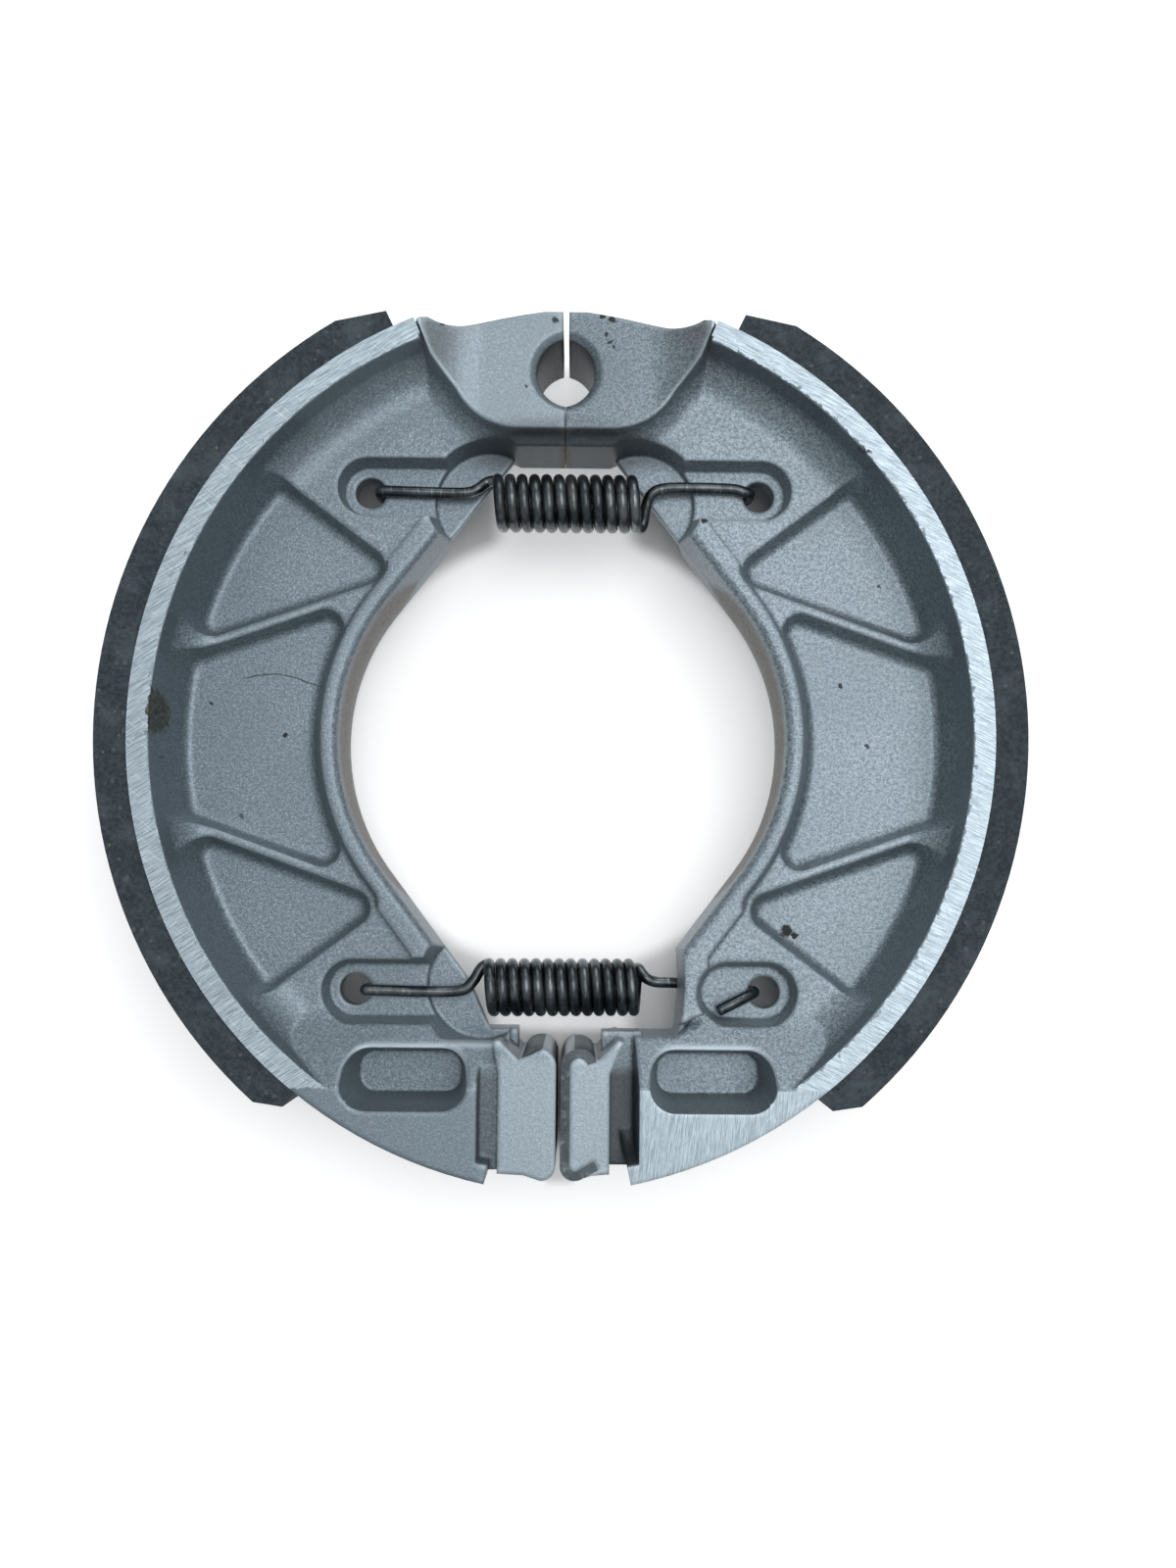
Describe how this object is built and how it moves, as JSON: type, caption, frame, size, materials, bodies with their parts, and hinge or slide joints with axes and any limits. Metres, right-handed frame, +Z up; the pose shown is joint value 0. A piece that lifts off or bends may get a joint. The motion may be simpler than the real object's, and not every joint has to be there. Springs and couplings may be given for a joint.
{
  "type": "drum brake shoe pair",
  "caption": "Pair of die-cast drum brake shoes with bonded linings and steel cam plates, joined by tension springs; pivots on an anchor pin, opens at the cam end.",
  "frame": {"origin": "centre of the outline across X and Y, on the plane the lower rim edges rest on", "axes": "+X across the pair to the shoe shown face B up, +Y towards the anchor end, +Z up, along the drum's axis"},
  "size_m": [0.1236, 0.1174, 0.025],
  "materials": {
    "casting": "satin grainy die casting with ground rim edges",
    "lining": "dark moulded friction lining, matt",
    "plate": "plain bent steel strip",
    "spring": "dark oiled spring steel"
  },
  "bodies": {
    "left_half": {"left_shoe": "casting", "left_lining": "lining", "left_cam_plate": "plate", "upper_spring": "spring", "lower_spring": "spring"},
    "right_half": {"right_shoe": "casting", "right_lining": "lining", "right_cam_plate": "plate"}
  },
  "joints": [
    {"name": "shoe_swing", "type": "hinge", "parent": "left_half", "child": "right_half", "pos_m": [0, 0.0502, 0.0125], "axis": [0, 0, 1], "range_deg": [0, 5], "stiffness_Nm_per_rad": 30, "springref_deg": -8.59, "deforming": ["upper_spring", "lower_spring"]}
  ]
}
